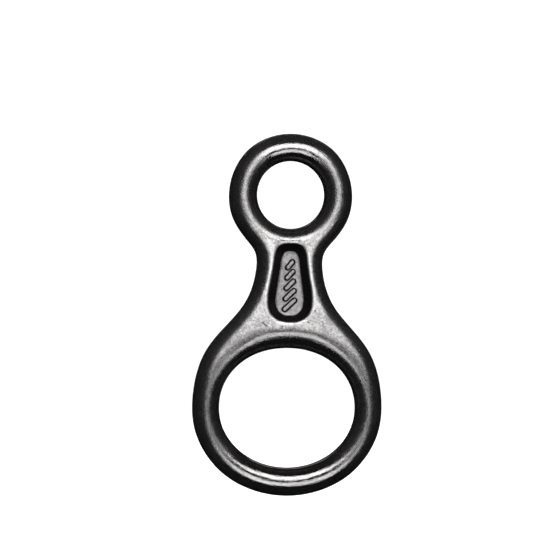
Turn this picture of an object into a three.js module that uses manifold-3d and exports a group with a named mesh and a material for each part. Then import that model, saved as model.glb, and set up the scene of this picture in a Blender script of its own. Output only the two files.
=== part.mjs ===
// Figure-eight rope descender: a single closed-die aluminium forging with a
// small round eye for the connector, a larger wide oval eye for the rope, and
// a waisted web between them that carries a blind pocket on each face.
// Millimetres, +Z up, small eye on top. X is the width and Y the thickness.
// The origin is the centre of the small eye at mid thickness.
import * as THREE from 'three';
import { mergeVertices, toCreasedNormals } from 'three/addons/utils/BufferGeometryUtils.js';
import Module from 'manifold-3d';

// ---- driving dimensions ---------------------------------------------------
const THICKNESS = 12.0;          // whole forging, face to face
const SMALL_EYE_R = 13.5;        // connector eye, round
const EYE_SPACING = 85.3;        // centre of the small eye to the large one
const LARGE_EYE_HALF_X = 27.3;   // rope eye, wide oval
const LARGE_EYE_HALF_Z = 23.9;
const LARGE_EYE_UPPER_POWER = 2.08;  // its upper half is a little squarer than an ellipse
const FLANK_W = 5.1;             // how far the rounded flank reaches in from an edge
const FLANK_D = 5.7;             // how deep it is, from the face to the parting band
const FLANK_STEPS = 5;

// Right half of the outer edge, x and z, from the top down to the bottom.
const TOP_Z = 24.55;
const BOTTOM_Z = -120.6;
const OUTLINE = [
  [8.86, 22.98], [16.63, 18.45], [22.01, 11.21], [24.57, 2.57],
  [24.41, -4.95], [22.80, -10.26], [20.54, -14.20], [17.49, -18.19],
  [13.77, -23.44], [13.38, -30.28], [14.81, -37.07], [17.60, -43.41],
  [22.39, -49.77], [28.39, -56.49], [33.51, -63.91], [36.61, -72.42],
  [38.01, -82.34], [37.23, -93.31], [32.91, -103.43], [24.86, -112.37],
  [14.29, -118.10],
];
const OUTLINE_POINTS = 132;
const SMALL_EYE_POINTS = 48;
const LARGE_EYE_POINTS = 76;

// Blind pocket, its rim on the face: half width at each height, top to bottom.
const POCKET_TOP_Z = -19.1;
const POCKET_BOTTOM_Z = -51.2;
const POCKET_RIM = [
  [3.40, -19.4], [5.45, -20.9], [6.45, -23.7], [7.05, -28.0],
  [7.90, -33.4], [8.70, -37.6], [9.10, -41.6], [8.90, -45.0],
  [7.70, -48.0], [4.60, -50.5],
];
const POCKET_DEPTH = 3.0;
const POCKET_WALL_W = 3.3;       // width of the drafted wall, seen from the front
const POCKET_POINTS = 44;

// Plain raised rope-lay motif on the front pocket's floor: slanted bars.
const BAR_COUNT = 5;
const BAR_PITCH = 4.0;
const BAR_FIRST_Z = -28.0;
const BAR_HALF_RUN = 1.30;       // straight part of the topmost bar
const BAR_RUN_STEP = 0.32;       // each bar below it is this much longer each way
const BAR_HALF_WIDTH = 0.95;
const BAR_SLANT = 0.60;          // radians
const BAR_HEIGHT = 0.8;
const BAR_ROOT = 0.8;            // how far each bar is rooted in the floor

const CREASE = 0.6;              // edges sharper than this, in radians, are shaded as edges

// ---- helpers --------------------------------------------------------------
const wasm = await Module();
wasm.setup();

function toSolid(geometry) {
  const g = geometry.clone();
  g.deleteAttribute('normal');
  g.deleteAttribute('uv');
  const m = mergeVertices(g, 1e-4);
  return new wasm.Manifold(new wasm.Mesh({
    numProp: 3,
    vertProperties: new Float32Array(m.attributes.position.array),
    triVerts: new Uint32Array(m.index.array),
  }));
}

function toGeometry(solid) {
  const m = solid.getMesh();
  const g = new THREE.BufferGeometry();
  g.setAttribute('position', new THREE.BufferAttribute(new Float32Array(m.vertProperties), 3));
  g.setIndex(new THREE.BufferAttribute(new Uint32Array(m.triVerts), 1));
  return toCreasedNormals(g, CREASE);
}

// A closed smooth curve through a right-hand half outline and its mirror image,
// as evenly spaced points in the plane of the two eyes.
function mirroredLoop(topZ, half, bottomZ, count) {
  const right = half.map(([x, z]) => new THREE.Vector3(x, z, 0));
  const left = half.map(([x, z]) => new THREE.Vector3(-x, z, 0)).reverse();
  const loop = [new THREE.Vector3(0, topZ, 0), ...right, new THREE.Vector3(0, bottomZ, 0), ...left];
  const curve = new THREE.CatmullRomCurve3(loop, true, 'centripetal');
  curve.arcLengthDivisions = 2000;
  return curve.getSpacedPoints(count).slice(0, -1).map((p) => new THREE.Vector2(p.x, p.y));
}

function eyeLoop(cz, rx, rz, count, upperPower = 2) {
  const points = [];
  for (let i = 0; i < count; i += 1) {
    const t = (2 * Math.PI * i) / count;
    const g = 2 / (Math.sin(t) > 0 ? upperPower : 2);
    points.push(new THREE.Vector2(
      Math.sign(Math.cos(t)) * rx * Math.abs(Math.cos(t)) ** g,
      cz + Math.sign(Math.sin(t)) * rz * Math.abs(Math.sin(t)) ** g,
    ));
  }
  return points;
}

// ExtrudeGeometry grows along its own z; this lays that direction on Y.
function standUp(geometry, yAway) {
  geometry.rotateX(Math.PI / 2);
  geometry.translate(0, yAway, 0);
  return geometry;
}

// ---- forged body ----------------------------------------------------------
const outline = new THREE.Shape(mirroredLoop(TOP_Z, OUTLINE, BOTTOM_Z, OUTLINE_POINTS));
outline.holes.push(new THREE.Path(eyeLoop(0, SMALL_EYE_R, SMALL_EYE_R, SMALL_EYE_POINTS)));
outline.holes.push(new THREE.Path(
  eyeLoop(-EYE_SPACING, LARGE_EYE_HALF_X, LARGE_EYE_HALF_Z, LARGE_EYE_POINTS, LARGE_EYE_UPPER_POWER)));
const band = THICKNESS - 2 * FLANK_D;
const blank = new THREE.ExtrudeGeometry(outline, {
  depth: band,
  steps: 1,
  bevelEnabled: true,
  bevelThickness: FLANK_D,
  bevelSize: FLANK_W,
  bevelOffset: -FLANK_W,
  bevelSegments: FLANK_STEPS,
});
blank.translate(0, 0, -band / 2);
let body = toSolid(standUp(blank, 0));

// ---- pockets, front and back ----------------------------------------------
const pocketShape = new THREE.Shape(
  mirroredLoop(POCKET_TOP_Z, POCKET_RIM, POCKET_BOTTOM_Z, POCKET_POINTS));
for (const side of [-1, 1]) {
  const cutter = new THREE.ExtrudeGeometry(pocketShape, {
    depth: 2,
    steps: 1,
    bevelEnabled: true,
    bevelThickness: POCKET_DEPTH,
    bevelSize: POCKET_WALL_W,
    bevelOffset: -POCKET_WALL_W,
    bevelSegments: 1,
  });
  cutter.translate(0, 0, -1);
  // the straight middle of the cutter starts on the face, its drafted end cuts
  body = body.subtract(toSolid(standUp(cutter, side * (THICKNESS / 2 + 1))));
}

// ---- rope-lay motif on the front floor ------------------------------------
const floorY = -(THICKNESS / 2 - POCKET_DEPTH);
for (let i = 0; i < BAR_COUNT; i += 1) {
  const bar = new THREE.Shape();
  const run = BAR_HALF_RUN + BAR_RUN_STEP * i;
  bar.moveTo(-run, -BAR_HALF_WIDTH);
  bar.lineTo(run, -BAR_HALF_WIDTH);
  bar.absarc(run, 0, BAR_HALF_WIDTH, -Math.PI / 2, Math.PI / 2, false);
  bar.lineTo(-run, BAR_HALF_WIDTH);
  bar.absarc(-run, 0, BAR_HALF_WIDTH, Math.PI / 2, Math.PI * 1.5, false);
  const g = new THREE.ExtrudeGeometry(bar, {
    depth: BAR_HEIGHT + BAR_ROOT, steps: 1, bevelEnabled: false, curveSegments: 4,
  });
  g.rotateZ(BAR_SLANT);
  g.translate(0, BAR_FIRST_Z - i * BAR_PITCH, 0);
  body = body.add(toSolid(standUp(g, floorY + BAR_ROOT)));
}

const forging = new THREE.Mesh(
  toGeometry(body),
  new THREE.MeshStandardMaterial({ color: 0x17171a, roughness: 0.32, metalness: 0.9 }),
);
forging.name = 'forged_body';

const group = new THREE.Group();
group.add(forging);
export default group;
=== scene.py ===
import bpy
import math
import numpy as np
from mathutils import Matrix, Vector


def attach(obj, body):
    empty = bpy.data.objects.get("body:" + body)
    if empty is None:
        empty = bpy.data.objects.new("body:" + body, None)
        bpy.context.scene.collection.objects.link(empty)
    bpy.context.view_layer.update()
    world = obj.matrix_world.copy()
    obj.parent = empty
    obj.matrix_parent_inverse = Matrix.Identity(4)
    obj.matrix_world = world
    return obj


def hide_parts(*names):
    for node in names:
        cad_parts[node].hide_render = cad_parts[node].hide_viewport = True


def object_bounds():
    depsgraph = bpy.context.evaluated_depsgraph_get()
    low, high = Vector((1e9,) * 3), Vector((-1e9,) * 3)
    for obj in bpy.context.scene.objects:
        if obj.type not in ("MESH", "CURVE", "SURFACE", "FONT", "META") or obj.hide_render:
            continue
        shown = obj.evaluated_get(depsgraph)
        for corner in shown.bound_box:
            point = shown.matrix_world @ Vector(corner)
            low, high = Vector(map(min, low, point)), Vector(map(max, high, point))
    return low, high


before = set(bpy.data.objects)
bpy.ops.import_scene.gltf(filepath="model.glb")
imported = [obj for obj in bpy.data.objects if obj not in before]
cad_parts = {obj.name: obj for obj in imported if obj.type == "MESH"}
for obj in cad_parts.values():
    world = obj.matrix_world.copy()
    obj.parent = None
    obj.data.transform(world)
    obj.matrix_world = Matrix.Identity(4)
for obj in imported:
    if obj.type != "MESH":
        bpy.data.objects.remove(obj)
CAD_LO, CAD_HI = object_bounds()          # the CAD box, metres
scene = bpy.context.scene

# ---------------------------------------------------------------------------
# Dimensions, millimetres, in the row frame (the same driving values as the CAD)
# ---------------------------------------------------------------------------
HALF_T = (CAD_HI.y - CAD_LO.y) * 500.0        # half thickness, 6 mm
EYE_R = 13.5
BIG_C = -85.3
BIG_A, BIG_B, BIG_UP = 27.3, 23.9, 2.08     # the upper half is a little squarer than an ellipse
FLANK = 5.55                # how far the rounded flank reaches in from an edge
FLANK_WEB = 1.55            # extra reach of the large eye's flank where it meets the web
BAND = 0.5                 # half height of the trimmed parting band
POCKET_D, POCKET_W = 3.0, 3.6

OUTLINE = [
    (0.0, 24.55), (8.86, 22.98), (16.63, 18.45), (22.01, 11.21),
    (24.57, 2.57), (24.41, -4.95), (22.8, -10.26), (20.54, -14.2),
    (17.49, -18.19), (13.77, -23.44), (13.38, -30.28), (14.81, -37.07),
    (17.6, -43.41), (22.39, -49.77), (28.39, -56.49), (33.51, -63.91),
    (36.61, -72.42), (38.01, -82.34), (37.23, -93.31), (32.91, -103.43),
    (24.86, -112.37), (14.29, -118.1), (0.0, -120.6),
]
POCKET = [
    (0.0, -19.1), (3.40, -19.4), (5.45, -20.9), (6.45, -23.7), (7.05, -28.0),
    (7.90, -33.4), (8.70, -37.6), (9.10, -41.6), (8.90, -45.0),
    (7.70, -48.0), (4.60, -50.5), (0.0, -51.2),
]
# plain rope-lay motif: five slanted strands, centre height and half length
STRANDS = [(-28.0 - 4.0 * i, 1.30 + 0.32 * i) for i in range(5)]
MARKS = [                  # (x, z), (half length, half width) in mm, turn in radians
    ((-10.5, -51.5), (1.15, 0.34), 0.75), ((-9.4, -52.4), (0.7, 0.28), 0.3),
    ((10.1, -46.2), (0.55, 0.42), 0.2), ((-2.9, -52.6), (0.34, 0.34), 0.0),
    ((-1.6, -52.4), (0.28, 0.26), 0.0), ((7.6, -51.0), (0.7, 0.22), 0.5),
    ((13.2, -50.6), (0.36, 0.26), -0.4), ((16.5, -53.6), (0.34, 0.24), 0.6),
]
STRAND_R, STRAND_SLANT, STRAND_H = 0.95, 0.60, 0.8
FLOOR = [
    (0.0, -22.7), (2.2, -23.2), (3.3, -24.8), (3.85, -28.0), (4.45, -32.5),
    (5.0, -36.5), (5.5, -40.0), (5.65, -42.5), (5.2, -44.9), (3.9, -46.9),
    (2.0, -48.0), (0.0, -48.2),
]


# ---------------------------------------------------------------------------
# Smooth closed curves and exact distances to them
# ---------------------------------------------------------------------------
def periodic_spline(pts):
    """C2 cubic through pts (closed, first point not repeated): returns f(t, order) and the period."""
    p = np.asarray(pts, float)
    n = len(p)
    h = np.linalg.norm(np.roll(p, -1, 0) - p, axis=1)
    t = np.r_[0.0, np.cumsum(h)]
    m = np.zeros((n, n))
    r = np.zeros((n, 2))
    for i in range(n):
        a, b = h[i - 1], h[i]
        m[i, i - 1] += a
        m[i, i] += 2 * (a + b)
        m[i, (i + 1) % n] += b
        r[i] = 6 * ((p[(i + 1) % n] - p[i]) / b - (p[i] - p[i - 1]) / a)
    s = np.linalg.solve(m, r)

    def f(q, order=0):
        q = np.mod(q, t[-1])
        i = np.clip(np.searchsorted(t, q, side="right") - 1, 0, n - 1)
        j = (i + 1) % n
        w = h[i][:, None]
        u = (q - t[i])[:, None]
        v = w - u
        if order == 0:
            return (s[i] * v**3 + s[j] * u**3) / (6 * w) + (p[i] / w - s[i] * w / 6) * v + (p[j] / w - s[j] * w / 6) * u
        if order == 1:
            return (-s[i] * v**2 + s[j] * u**2) / (2 * w) - (p[i] / w - s[i] * w / 6) + (p[j] / w - s[j] * w / 6)
        return (s[i] * v + s[j] * u) / w
    return f, t[-1]


def mirrored(half):
    return list(half) + [(-x, z) for x, z in half[-2:0:-1]]


class Loop:
    """A closed curve sampled finely, with tangents and curvature, for signed distances."""

    def __init__(self, pos, d1, d2, inward_sign):
        self.p = pos
        sp = np.linalg.norm(d1, axis=1, keepdims=True)
        self.t = d1 / sp
        self.k = (d1[:, 0] * d2[:, 1] - d1[:, 1] * d2[:, 0]) / sp[:, 0] ** 3
        self.n = np.c_[-self.t[:, 1], self.t[:, 0]]
        self.sign = inward_sign
        self.coarse = np.arange(0, len(pos), 8)

    def dist(self, x, z):
        out = np.empty(len(x))
        c = self.p[self.coarse]
        c2 = (c**2).sum(1)
        m = len(self.p)
        win = np.arange(-9, 10)
        for s in range(0, len(x), 16384):
            q = np.c_[x[s:s + 16384], z[s:s + 16384]]
            near = self.coarse[np.argmin(c2[None] - 2 * q @ c.T, axis=1)]
            cand = (near[:, None] + win[None]) % m
            dd = ((self.p[cand] - q[:, None]) ** 2).sum(2)
            k = cand[np.arange(len(q)), np.argmin(dd, axis=1)]
            d = q - self.p[k]
            a = (d * self.t[k]).sum(1)
            b = (d * self.n[k]).sum(1)
            den = 1 - self.k[k] * b
            den = np.where(np.abs(den) < 0.15, 0.15, den)
            u = np.clip(a / den, -0.2, 0.2)
            foot = self.p[k] + self.t[k] * u[:, None] + 0.5 * (self.k[k] * u**2)[:, None] * self.n[k]
            nn = self.n[k] - self.t[k] * (self.k[k] * u)[:, None]
            nn /= np.linalg.norm(nn, axis=1, keepdims=True)
            out[s:s + 16384] = ((q - foot) * nn).sum(1)
        return out * self.sign


def spline_loop(half, step=0.15):
    f, period = periodic_spline(mirrored(half))
    q = np.linspace(0, period, int(period / step), endpoint=False)
    p, d1, d2 = f(q), f(q, 1), f(q, 2)
    area = 0.5 * np.sum(p[:, 0] * np.roll(p[:, 1], -1) - np.roll(p[:, 0], -1) * p[:, 1])
    return Loop(p, d1, d2, 1.0 if area > 0 else -1.0)


def eye_half(cz, a, b, up, n=15):
    """Right half of the rope eye, top to bottom."""
    half = [(0.0, cz + b)]
    for i in range(1, n - 1):
        t = math.pi / 2 - math.pi * i / (n - 1)
        g = 2.0 / (up if t > 0 else 2.0)
        half.append((a * math.cos(t) ** g, cz + math.copysign(b * abs(math.sin(t)) ** g, t)))
    return half + [(0.0, cz - b)]


OUT, RIM, BED = spline_loop(OUTLINE), spline_loop(POCKET, 0.1), spline_loop(FLOOR, 0.1)
BIG = spline_loop(eye_half(BIG_C, BIG_A, BIG_B, BIG_UP))
BIG.sign = -BIG.sign                     # positive in the metal, around the eye


def sstep(t):
    t = np.clip(t, 0, 1)
    return t * t * (3 - 2 * t)


def smax(a, b, k):
    h = np.maximum(k - np.abs(a - b), 0) / k
    return np.maximum(a, b) + h * h * k * 0.25


def smin(a, b, k):
    return -smax(-a, -b, k)


# ---------------------------------------------------------------------------
# The forging as an implicit solid
# ---------------------------------------------------------------------------
def relief(x, z):
    """Height of the strand motif above the front pocket floor."""
    best = np.full(len(x), 9.0)
    for cz, run in STRANDS:
        ca, sa = math.cos(STRAND_SLANT), math.sin(STRAND_SLANT)
        u = x * ca + (z - cz) * sa
        v = -x * sa + (z - cz) * ca
        v = v - 0.42 * np.sin(np.clip(u / (run + 0.6), -1, 1) * math.pi * 0.5)     # a light S like a laid strand
        du = np.abs(u) - run
        s = np.where(du > 0, np.hypot(np.maximum(du, 0), v), np.abs(v)) - STRAND_R
        best = np.minimum(best, s)
    return STRAND_H * sstep((0.36 - best) / 0.72)


def fields(x, z):
    """Everything that depends on the place in the front view only."""
    d_o = OUT.dist(x, z)
    d_s = np.hypot(x, z) - EYE_R
    d_l = BIG.dist(x, z)
    wide = sstep((d_o + d_l - 12.0) / 9.0)
    w_l = FLANK + FLANK_WEB * wide
    a = np.maximum(0, 1 - d_o / FLANK)
    b = np.maximum(0, 1 - d_s / FLANK)
    c = np.maximum(0, 1 - d_l / w_l)
    e = RIM.dist(x, z)
    bed = BED.dist(x, z)                  # the wall runs from the rim to the floor's own outline
    e = np.where(e < 0, e, np.where(bed > 0, POCKET_W + bed, POCKET_W * e / np.maximum(e + np.maximum(-bed, 0), 0.01)))
    line = HALF_T - POCKET_D * e / POCKET_W
    floor = smax(line, np.full_like(line, HALF_T - POCKET_D), 0.8)
    k = 0.55 + 0.55 * sstep((z + 25.0) / 6.0)
    return a * a + b * b + c ** (2.0 - 0.4 * wide), floor, k, d_o, d_s, d_l, e


def uneven(x, y, z):
    """Forging and tumbling leave the faces very slightly wavy."""
    return (
        0.016 * np.sin(0.31 * x + 0.17 * z + 1.1) * np.sin(0.23 * z - 0.11 * x + 0.4 + 0.3 * y)
        + 0.012 * np.sin(0.57 * x - 0.41 * z + 2.3) * np.sin(0.49 * z + 0.35 * x + 0.9 * y)
        + 0.006 * np.sin(1.13 * x + 0.87 * z + 0.5) * np.sin(1.31 * z - 0.77 * x + 1.9 + y)
    )


def solid(x, y, z, fl=None):
    a2, floor, k, *_ = fl if fl is not None else fields(x, z)
    q = np.maximum(np.abs(y) - BAND, 0) / (HALF_T - 0.03 - BAND)
    body = (np.sqrt(a2 + q * q) - 1) * HALF_T
    front = floor + relief(x, z)
    f = np.where(y < 0, front, floor)
    cut = (np.abs(y) - f) * 0.80
    return smax(body, cut, k) + uneven(x, y, z)


# ---------------------------------------------------------------------------
# Surface nets on a grid that is finer over the pocket
# ---------------------------------------------------------------------------
def ticks(lo, hi, coarse, fine_lo, fine_hi, fine):
    a = np.linspace(lo, fine_lo, max(2, int(round((fine_lo - lo) / coarse)) + 1))
    b = np.linspace(fine_lo, fine_hi, int(round((fine_hi - fine_lo) / fine)) + 1)
    c = np.linspace(fine_hi, hi, max(2, int(round((hi - fine_hi) / coarse)) + 1))
    return np.r_[a, b[1:], c[1:]]


COARSE, FINE = ((0.52, 0.25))
gx = ticks(-38.9, 38.9, COARSE, -6.2, 6.2, FINE)
gy = np.linspace(-6.7, 6.7, int(13.4 / (COARSE * 0.95)) + 1)
gz = ticks(-121.6, 25.6, COARSE, -47.2, -24.6, FINE)
nx, ny, nz = len(gx), len(gy), len(gz)

XX, ZZ = np.meshgrid(gx, gz, indexing="ij")
fl = fields(XX.ravel(), ZZ.ravel())
F = np.empty((nx, ny, nz), np.float32)
for j in range(ny):
    F[:, j, :] = solid(XX.ravel(), np.full(XX.size, gy[j]), ZZ.ravel(), fl).reshape(nx, nz)
inside = F < 0
corner = sum(
    inside[i:nx - 1 + i, j:ny - 1 + j, k:nz - 1 + k].astype(np.int8)
    for i in (0, 1) for j in (0, 1) for k in (0, 1)
)
mixed = (corner > 0) & (corner < 8)
ids = np.full(mixed.shape, -1, np.int64)
ids[mixed] = np.arange(mixed.sum())
ci, cj, ck = np.nonzero(mixed)
acc = np.zeros((len(ci), 3))
cnt = np.zeros(len(ci))
grid = (gx, gy, gz)
for ax in range(3):
    others = [o for o in range(3) if o != ax]
    for u in (0, 1):
        for v in (0, 1):
            off = [0, 0, 0]
            off[others[0]], off[others[1]] = u, v
            i0 = [ci + off[0], cj + off[1], ck + off[2]]
            i1 = [x.copy() for x in i0]
            i1[ax] = i1[ax] + 1
            f0, f1 = F[tuple(i0)], F[tuple(i1)]
            hit = (f0 < 0) != (f1 < 0)
            t = np.where(hit, f0 / np.where(hit, f0 - f1, 1), 0)
            for d in range(3):
                p0, p1 = grid[d][i0[d]], grid[d][i1[d]]
                acc[:, d] += np.where(hit, p0 + (p1 - p0) * t, 0)
            cnt += hit
V = acc / cnt[:, None]
quads = []
for ax in range(3):
    o1, o2 = [(1, 2), (2, 0), (0, 1)][ax]
    sl0 = [slice(None)] * 3
    sl1 = [slice(None)] * 3
    sl0[ax], sl1[ax] = slice(0, -1), slice(1, None)
    s0, s1 = inside[tuple(sl0)], inside[tuple(sl1)]
    edge = s0 != s1
    lim = [slice(None)] * 3
    for o in (o1, o2):
        edge = np.delete(np.delete(edge, -1, axis=o), 0, axis=o)
    idx = list(np.nonzero(edge))
    for o in (o1, o2):
        idx[o] = idx[o] + 1
    start_in = s0[tuple(idx)]

    def cell(a, b):
        c = [x.copy() for x in idx]
        c[o1] = c[o1] - a
        c[o2] = c[o2] - b
        return ids[tuple(c)]
    q = np.stack([cell(0, 0), cell(1, 0), cell(1, 1), cell(0, 1)], axis=1)
    q[~start_in] = q[~start_in][:, ::-1]
    quads.append(q)
Q = np.vstack(quads)
assert (Q >= 0).all()

# ease the net along the surface, then put every point exactly on it
e01 = np.vstack([Q[:, [0, 1]], Q[:, [1, 2]], Q[:, [2, 3]], Q[:, [3, 0]]])
deg = np.bincount(e01.ravel(), minlength=len(V)).astype(float)


def relax(p):
    s = np.zeros_like(p)
    for d in range(3):
        s[:, d] = np.bincount(e01[:, 0], p[e01[:, 1], d], len(p)) + np.bincount(e01[:, 1], p[e01[:, 0], d], len(p))
    return s / deg[:, None]


def gradient(p, fl0):
    h = 0.02
    x, y, z = p.T
    f0 = solid(x, y, z, fl0)
    g = np.empty_like(p)
    g[:, 0] = (solid(x + h, y, z) - solid(x - h, y, z)) / (2 * h)
    g[:, 1] = (solid(x, y + h, z, fl0) - solid(x, y - h, z, fl0)) / (2 * h)
    g[:, 2] = (solid(x, y, z + h) - solid(x, y, z - h)) / (2 * h)
    return f0, g


for step in range(3):
    if step:
        V = V + 0.6 * (relax(V) - V)
    f0, g = gradient(V, fields(V[:, 0], V[:, 2]))
    move = -g * (f0 / np.maximum((g * g).sum(1), 0.05))[:, None]
    ln = np.linalg.norm(move, axis=1, keepdims=True)
    V = V + move * np.minimum(1, 0.3 / np.maximum(ln, 1e-9))

_, _, _, d_o, d_s, d_l, e = fields(V[:, 0], V[:, 2])
# How far the tumbling and the rope have polished the surface: bars yes, web and pocket no.
near = np.minimum(d_s + 2.2 * sstep((-V[:, 2] - 7.0) / 7.0), d_l)      # the shoulders of the pocket stay satin
bar = 1 - sstep((near - 6.0) / 4.6)
flank = 1 - sstep((d_o - 3.7) / (1.5 + 1.9 * sstep((-V[:, 2] - 40.0) / 14.0)))
# the pocket walls: glossier, and further down their colour is darkened as painted shade
wall_and_painted_shade = sstep((e - 0.15) / 0.5) * (1 - sstep((e - POCKET_W + 0.15) / 0.5))
polish = np.maximum(np.maximum(bar, 0.85 * flank) * (1 - sstep((e + 0.1) / 0.5)), wall_and_painted_shade)
deep = sstep((e - POCKET_W + 0.3) / 0.6)
edge = sstep((e + 1.6) / 1.0) * (1 - sstep((e + 0.1) / 0.4)) * (1 - 0.75 * sstep((np.abs(V[:, 2] + 33.0) - 8.0) / 7.0))        # the pocket's rim gets a lighter colour as a painted highlight, strongest along its long sides
# painted shade: the colour is also darkened around the raised strands
rx = relief(V[:, 0] + 0.05, V[:, 2]) - relief(V[:, 0] - 0.05, V[:, 2])
rz = relief(V[:, 0], V[:, 2] + 0.05) - relief(V[:, 0], V[:, 2] - 0.05)
wall_and_painted_shade = np.maximum(wall_and_painted_shade, 0.85 * sstep((np.hypot(rx, rz) * 10 - 0.35) / 0.6) * (V[:, 1] < 0) * deep)
# and painted shade where the web runs into the bar of the large eye, wider on one shoulder
far = 6.9 + 2.2 * sstep((-V[:, 0] - 3.0) / 14.0)
joint = sstep((d_l - 5.7) / 0.9) * (1 - sstep((d_l - far) / 1.9)) * sstep((d_o + d_l - 12.0) / 8.0)
wall_and_painted_shade = np.maximum(wall_and_painted_shade, 0.50 * joint)
# The connector rubs the top of the small eye and the rope the bottom of the large one.
ang_s = np.arctan2(V[:, 0], V[:, 2])
ang_l = np.arctan2(V[:, 0], -(V[:, 2] - BIG_C))
small = d_s < d_l
along = np.cos(np.where(small, ang_s, ang_l))              # 1 where the load sits, -1 beside the web
worn = sstep((np.abs(along) - np.where(small, 0.70, 0.52)) / np.where(small, 0.24, 0.36)) * np.where(along > 0, 1.0, 0.35) * bar
flow = np.stack([
    np.where(small, ang_s * 19.0, ang_l * 32.0),      # along the bar, mm
    np.where(small, d_s, d_l),                        # across it
    V[:, 1],
], axis=1)

mesh = bpy.data.meshes.new("forged_body_skin")
mesh.vertices.add(len(V))
mesh.vertices.foreach_set("co", (V * 0.001).astype(np.float32).ravel())
mesh.loops.add(Q.size)
mesh.loops.foreach_set("vertex_index", Q.astype(np.int32).ravel())
mesh.polygons.add(len(Q))
mesh.polygons.foreach_set("loop_start", np.arange(0, Q.size, 4, dtype=np.int32))
mesh.polygons.foreach_set("use_smooth", np.ones(len(Q), bool))
mesh.update(calc_edges=True)
mesh.validate()
for name, values in (("polish", polish), ("floor", deep), ("worn", worn), ("wall_and_painted_shade", wall_and_painted_shade), ("edge", edge)):
    at = mesh.attributes.new(name, "FLOAT", "POINT")
    at.data.foreach_set("value", values.astype(np.float32))
at = mesh.attributes.new("flow", "FLOAT_VECTOR", "POINT")
at.data.foreach_set("vector", flow.astype(np.float32).ravel())
skin = bpy.data.objects.new("forged_body_skin", mesh)
scene.collection.objects.link(skin)
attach(skin, "root")
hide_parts("forged_body")
print("skin", len(V), "points", len(Q), "faces")


# ---------------------------------------------------------------------------
# Black anodised aluminium
# ---------------------------------------------------------------------------
def node(nt, kind, **kw):
    n = nt.nodes.new(kind)
    for k, v in kw.items():
        setattr(n, k, v)
    return n


def ramp(nt, src, a, b, lo=0.0, hi=1.0):
    n = node(nt, "ShaderNodeMapRange", interpolation_type="SMOOTHSTEP")
    nt.links.new(src, n.inputs["Value"])
    n.inputs["From Min"].default_value = a
    n.inputs["From Max"].default_value = b
    n.inputs["To Min"].default_value = lo
    n.inputs["To Max"].default_value = hi
    return n.outputs["Result"]


def math_node(nt, op, a, b=None, clamp=False):
    n = node(nt, "ShaderNodeMath", operation=op, use_clamp=clamp)
    for i, v in enumerate((a, b)):
        if v is None:
            continue
        if isinstance(v, (int, float)):
            n.inputs[i].default_value = v
        else:
            nt.links.new(v, n.inputs[i])
    return n.outputs[0]


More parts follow.
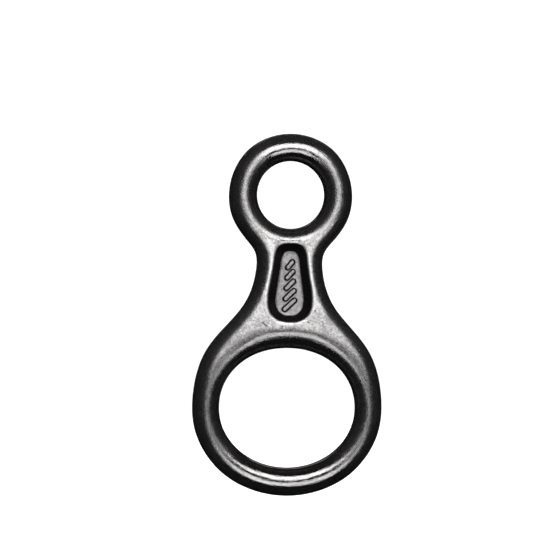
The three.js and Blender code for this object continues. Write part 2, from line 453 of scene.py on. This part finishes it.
def anodised():
    m = bpy.data.materials.new("black_anodised")
    m.use_nodes = True
    nt = m.node_tree
    nt.nodes.clear()
    out = node(nt, "ShaderNodeOutputMaterial")
    bsdf = node(nt, "ShaderNodeBsdfPrincipled")
    nt.links.new(bsdf.outputs[0], out.inputs["Surface"])
    co = node(nt, "ShaderNodeTexCoord")
    mm = node(nt, "ShaderNodeMapping")
    mm.inputs["Scale"].default_value = (1000, 1000, 1000)
    nt.links.new(co.outputs["Object"], mm.inputs["Vector"])

    def noise(scale, detail=2.0, rough=0.5, off=0.0):
        n = node(nt, "ShaderNodeTexNoise")
        n.inputs["Scale"].default_value = scale
        n.inputs["Detail"].default_value = detail
        n.inputs["Roughness"].default_value = rough
        if off:
            o = node(nt, "ShaderNodeMapping")
            o.inputs["Location"].default_value = (off, off * 1.7, -off)
            nt.links.new(mm.outputs[0], o.inputs["Vector"])
            nt.links.new(o.outputs[0], n.inputs["Vector"])
        else:
            nt.links.new(mm.outputs[0], n.inputs["Vector"])
        return n.outputs["Fac"]

    pol = node(nt, "ShaderNodeAttribute", attribute_name="polish").outputs["Fac"]
    # the polish fades out in grains, not along a clean line
    fray = math_node(nt, "MULTIPLY", math_node(nt, "SUBTRACT", noise(1.7, 2.0, 0.7, 41.0), 0.5), 5.5)
    fray = math_node(nt, "MULTIPLY", fray, math_node(nt, "MULTIPLY", pol, math_node(nt, "SUBTRACT", 1.0, pol)))
    pol = ramp(nt, math_node(nt, "ADD", pol, fray), 0.0, 1.0)
    flo = node(nt, "ShaderNodeAttribute", attribute_name="floor").outputs["Fac"]
    worn = node(nt, "ShaderNodeAttribute", attribute_name="worn").outputs["Fac"]

    # colour: deep black with a faint warm cloudiness of the dye
    cloud = noise(0.16, 4.0, 0.6)
    fine = noise(1.4, 3.0, 0.55, 31.0)
    mix = node(nt, "ShaderNodeMix", data_type="RGBA")
    mix.inputs["A"].default_value = (0.128, 0.125, 0.125, 1)
    mix.inputs["B"].default_value = (0.168, 0.164, 0.164, 1)
    tone = math_node(nt, "ADD", math_node(nt, "MULTIPLY", cloud, 0.45), math_node(nt, "MULTIPLY", fine, 0.55))
    nt.links.new(ramp(nt, tone, 0.35, 0.68), mix.inputs["Factor"])
    # painted sheen: the satin web is given a lighter grey than the bars
    web_painted_sheen = node(nt, "ShaderNodeMix", data_type="RGBA")
    web_painted_sheen.inputs["A"].default_value = (0.210, 0.206, 0.206, 1)
    web_painted_sheen.inputs["B"].default_value = (0.480, 0.471, 0.471, 1)
    nt.links.new(ramp(nt, tone, 0.38, 0.64), web_painted_sheen.inputs["Factor"])
    both = node(nt, "ShaderNodeMix", data_type="RGBA")
    satin = math_node(nt, "MULTIPLY", math_node(nt, "SUBTRACT", 1.0, pol), math_node(nt, "SUBTRACT", 1.0, math_node(nt, "MULTIPLY", flo, 0.7)))
    nt.links.new(satin, both.inputs["Factor"])
    nt.links.new(mix.outputs["Result"], both.inputs["A"])
    nt.links.new(web_painted_sheen.outputs["Result"], both.inputs["B"])
    # painted highlight: a lighter colour along the pocket's rim
    rim_highlight_fac = node(nt, "ShaderNodeAttribute", attribute_name="edge").outputs["Fac"]
    rim_painted_highlight = node(nt, "ShaderNodeMix", data_type="RGBA")
    nt.links.new(math_node(nt, "MULTIPLY", rim_highlight_fac, ramp(nt, fine, 0.30, 0.55, 0.45, 1.0)), rim_painted_highlight.inputs["Factor"])
    nt.links.new(both.outputs["Result"], rim_painted_highlight.inputs["A"])
    rim_painted_highlight.inputs["B"].default_value = (0.560, 0.550, 0.548, 1)
    # painted shade: the colour is darkened in the pocket walls, around the raised strands and where the web meets the
    # large eye's bar
    painted_shade_fac = node(nt, "ShaderNodeAttribute", attribute_name="wall_and_painted_shade").outputs["Fac"]
    painted_shade_mix = node(nt, "ShaderNodeMix", data_type="RGBA")
    nt.links.new(painted_shade_fac, painted_shade_mix.inputs["Factor"])
    nt.links.new(rim_painted_highlight.outputs["Result"], painted_shade_mix.inputs["A"])
    painted_shade_mix.inputs["B"].default_value = (0.062, 0.060, 0.061, 1)
    # a few handling marks on the front of the web
    hit = None
    for (mx, mz), (ma, mb), turn in MARKS:
        mk = node(nt, "ShaderNodeMapping", vector_type="TEXTURE")
        mk.inputs["Location"].default_value = (mx, -HALF_T, mz)
        mk.inputs["Rotation"].default_value = (0, turn, 0)
        mk.inputs["Scale"].default_value = (ma, 3.0, mb)
        nt.links.new(mm.outputs[0], mk.inputs["Vector"])
        ln = node(nt, "ShaderNodeVectorMath", operation="LENGTH")
        nt.links.new(mk.outputs[0], ln.inputs[0])
        spot = ramp(nt, ln.outputs["Value"], 0.55, 1.0, 1.0, 0.0)
        hit = spot if hit is None else math_node(nt, "MAXIMUM", hit, spot)
    marked = node(nt, "ShaderNodeMix", data_type="RGBA")
    nt.links.new(math_node(nt, "MULTIPLY", hit, 0.75), marked.inputs["Factor"])
    nt.links.new(painted_shade_mix.outputs["Result"], marked.inputs["A"])
    marked.inputs["B"].default_value = (0.050, 0.048, 0.048, 1)
    nt.links.new(marked.outputs["Result"], bsdf.inputs["Base Color"])
    bsdf.inputs["Metallic"].default_value = 1.0
    bsdf.inputs["Specular Tint"].default_value = (0.15, 0.15, 0.15, 1)     # a dyed oxide film doesn't flare at grazing angles

    # roughness: satin where the blast finish is left, glossier where tumbled and rope polished
    grain = noise(2.6, 3.0, 0.6, 7.0)
    r_satin = ramp(nt, grain, 0.3, 0.7, 0.34, 0.46)
    # streaks that run along the bars, from rope and tumbling
    fa = node(nt, "ShaderNodeAttribute", attribute_name="flow")
    fmap = node(nt, "ShaderNodeMapping")
    fmap.inputs["Scale"].default_value = (0.32, 1.9, 1.9)
    nt.links.new(fa.outputs["Vector"], fmap.inputs["Vector"])
    st = node(nt, "ShaderNodeTexNoise")
    st.inputs["Scale"].default_value = 1.0
    st.inputs["Detail"].default_value = 3.0
    st.inputs["Roughness"].default_value = 0.6
    nt.links.new(fmap.outputs[0], st.inputs["Vector"])
    streak = st.outputs["Fac"]
    r_gloss = math_node(nt, "SUBTRACT", ramp(nt, math_node(nt, "ADD", math_node(nt, "MULTIPLY", grain, 0.4), math_node(nt, "MULTIPLY", streak, 0.6)), 0.34, 0.66, 0.23, 0.36), math_node(nt, "MULTIPLY", worn, 0.20))
    rm = node(nt, "ShaderNodeMix", data_type="FLOAT")
    nt.links.new(pol, rm.inputs["Factor"])
    nt.links.new(r_satin, rm.inputs["A"])
    nt.links.new(r_gloss, rm.inputs["B"])
    nt.links.new(rm.outputs["Result"], bsdf.inputs["Roughness"])

    # height in millimetres: forging orange peel, blast grain on the satin part, tumbling dents
    peel = math_node(nt, "MULTIPLY", noise(0.9, 2.0, 0.5, 3.0), 0.026)
    blast = math_node(nt, "MULTIPLY", noise(3.2, 2.0, 0.6, 11.0),
                      math_node(nt, "SUBTRACT", 0.048, math_node(nt, "MULTIPLY", pol, 0.0375)))
    vor = node(nt, "ShaderNodeTexVoronoi", feature="F1")
    vor.inputs["Scale"].default_value = 0.55
    nt.links.new(mm.outputs[0], vor.inputs["Vector"])
    dent = ramp(nt, vor.outputs["Distance"], 0.0, 0.17, -0.05, 0.0)
    pick = ramp(nt, noise(0.35, 1.0, 0.5, 19.0), 0.56, 0.62)
    dents = math_node(nt, "MULTIPLY", dent, pick)
    lines = math_node(nt, "MULTIPLY", streak, math_node(nt, "MULTIPLY", pol, 0.046))
    mottle = math_node(nt, "MULTIPLY", noise(1.5, 2.0, 0.65, 23.0),
                       math_node(nt, "ADD", math_node(nt, "SUBTRACT", 0.066, math_node(nt, "MULTIPLY", pol, 0.056)),
                                 math_node(nt, "MULTIPLY", flo, 0.060)))
    h = math_node(nt, "ADD", math_node(nt, "ADD", math_node(nt, "ADD", peel, blast), dents), lines)
    h = math_node(nt, "SUBTRACT", math_node(nt, "ADD", h, mottle), math_node(nt, "MULTIPLY", hit, 0.12))
    bump = node(nt, "ShaderNodeBump")
    bump.inputs["Strength"].default_value = 1.0
    bump.inputs["Distance"].default_value = 0.001
    nt.links.new(h, bump.inputs["Height"])
    nt.links.new(bump.outputs["Normal"], bsdf.inputs["Normal"])
    return m


mat = anodised()
mesh.materials.append(mat)

# ---------------------------------------------------------------------------
# Floor, light and camera
# ---------------------------------------------------------------------------
C = Vector((0.0, 0.0, -0.048))
floor_me = bpy.data.meshes.new("floor")
S = 6.0
zf = CAD_LO.z - 0.05
floor_me.from_pydata([(-S, -S, zf), (S, -S, zf), (S, S, zf), (-S, S, zf)], [], [(0, 1, 2, 3)])
floor = bpy.data.objects.new("floor", floor_me)
scene.collection.objects.link(floor)
fm = bpy.data.materials.new("pale_floor")
fm.use_nodes = True
fb = fm.node_tree.nodes["Principled BSDF"]
# pale all over, and lightest where it runs off behind the front view
ft = fm.node_tree
fco = node(ft, "ShaderNodeTexCoord")
fsep = node(ft, "ShaderNodeSeparateXYZ")
ft.links.new(fco.outputs["Object"], fsep.inputs[0])
fan = math_node(ft, "ARCTAN2", math_node(ft, "ABSOLUTE", fsep.outputs["X"]), fsep.outputs["Y"])
fmx = node(ft, "ShaderNodeMix", data_type="RGBA")
fmx.inputs["A"].default_value = (0.93, 0.93, 0.93, 1)
fmx.inputs["B"].default_value = (0.56, 0.56, 0.56, 1)
ft.links.new(math_node(ft, "MAXIMUM", ramp(ft, fan, math.radians(24), math.radians(48)),
                       ramp(ft, fsep.outputs["Y"], 0.08, 0.30, 1.0, 0.0)), fmx.inputs["Factor"])
ft.links.new(fmx.outputs["Result"], fb.inputs["Base Color"])
fb.inputs["Roughness"].default_value = 0.9
fb.inputs["Specular IOR Level"].default_value = 0.0
floor_me.materials.append(fm)
floor.visible_glossy = False

world = bpy.data.worlds.new("studio")
scene.world = world
world.use_nodes = True
wt = world.node_tree
wt.nodes.clear()
wo = node(wt, "ShaderNodeOutputWorld")
lp = node(wt, "ShaderNodeLightPath")
wco = node(wt, "ShaderNodeTexCoord")
wsep = node(wt, "ShaderNodeSeparateXYZ")
wt.links.new(wco.outputs["Generated"], wsep.inputs[0])
white = node(wt, "ShaderNodeBackground")
white.inputs["Color"].default_value = (1, 1, 1, 1)
wt.links.new(ramp(wt, wsep.outputs["Y"], 0.88, 0.97, 0.84, 1.25), white.inputs["Strength"])
room = node(wt, "ShaderNodeBackground")               # what lights the floor
room.inputs["Color"].default_value = (1, 1, 1, 1)
room.inputs["Strength"].default_value = 1.25
dark = node(wt, "ShaderNodeBackground")               # what the metal mirrors away from the softboxes
dark.inputs["Color"].default_value = (1, 1, 1, 1)
wt.links.new(ramp(wt, wsep.outputs["Z"], -0.1, 0.9, 0.030, 0.05), dark.inputs["Strength"])
m1 = node(wt, "ShaderNodeMixShader")
wt.links.new(lp.outputs["Is Camera Ray"], m1.inputs[0])
wt.links.new(room.outputs[0], m1.inputs[1])
wt.links.new(white.outputs[0], m1.inputs[2])
wm = node(wt, "ShaderNodeMixShader")
wt.links.new(lp.outputs["Is Glossy Ray"], wm.inputs[0])
wt.links.new(m1.outputs[0], wm.inputs[1])
wt.links.new(dark.outputs[0], wm.inputs[2])
wt.links.new(wm.outputs[0], wo.inputs["Surface"])


def softbox(name, az, el, dist, wide, tall, radiance):
    """A soft light seen from the object's middle at az, el, wide x tall degrees."""
    a, e = math.radians(az), math.radians(el)
    w, h = (2 * dist * math.tan(math.radians(v / 2)) for v in (wide, tall))
    d = Vector((math.sin(a) * math.cos(e), -math.cos(a) * math.cos(e), math.sin(e)))
    ld = bpy.data.lights.new(name, "AREA")
    ld.shape = "RECTANGLE"
    ld.size, ld.size_y = w, h
    ld.energy = radiance * math.pi * w * h      # an area light's radiance is power / (pi * area)
    ob = bpy.data.objects.new(name, ld)
    scene.collection.objects.link(ob)
    ob.location = C + d * dist
    ob.rotation_mode = "QUATERNION"
    ob.rotation_quaternion = (-d).to_track_quat("-Z", "Y")
    ob.visible_camera = False
    return ob


softbox("key_front", 4.5, 20.4, 0.54, 30, 31, 7.3)
softbox("fill_front", 4.5, -23.0, 0.54, 31, 22, 5.1)
softbox("key_back", 176.0, 30.0, 1.6, 50, 36, 3.0)
softbox("low_back", 147.0, -16.0, 1.6, 34, 30, 0.65)

K = 0.40060                                   # millimetres per pixel of a 550 pixel frame
DIST = 1.25
cam_d = bpy.data.cameras.new("camera")
cam_d.sensor_width = 36.0
cam_d.lens = 36.0 * DIST / (550 * K * 0.001)
cam = bpy.data.objects.new("camera", cam_d)
scene.collection.objects.link(cam)
AZ, EL, ROLL = -5.0, 0.0, 0.99
a, e_ = math.radians(AZ), math.radians(EL)
back = Vector((math.sin(a) * math.cos(e_), -math.cos(a) * math.cos(e_), math.sin(e_)))
target = Vector((-0.00572, 0.0, -0.03218))
q = (-back).to_track_quat("-Z", "Y")
# the object leans clockwise by ROLL in the picture, so the camera turns the other way
q = q @ Matrix.Rotation(math.radians(ROLL), 3, "Z").to_quaternion()
cam.rotation_mode = "QUATERNION"
cam.rotation_quaternion = q
cam.location = target + back * DIST
cam_d.clip_start, cam_d.clip_end = 0.05, 50
scene.camera = cam
scene.view_settings.view_transform = "Standard"
scene.view_settings.look = "None"
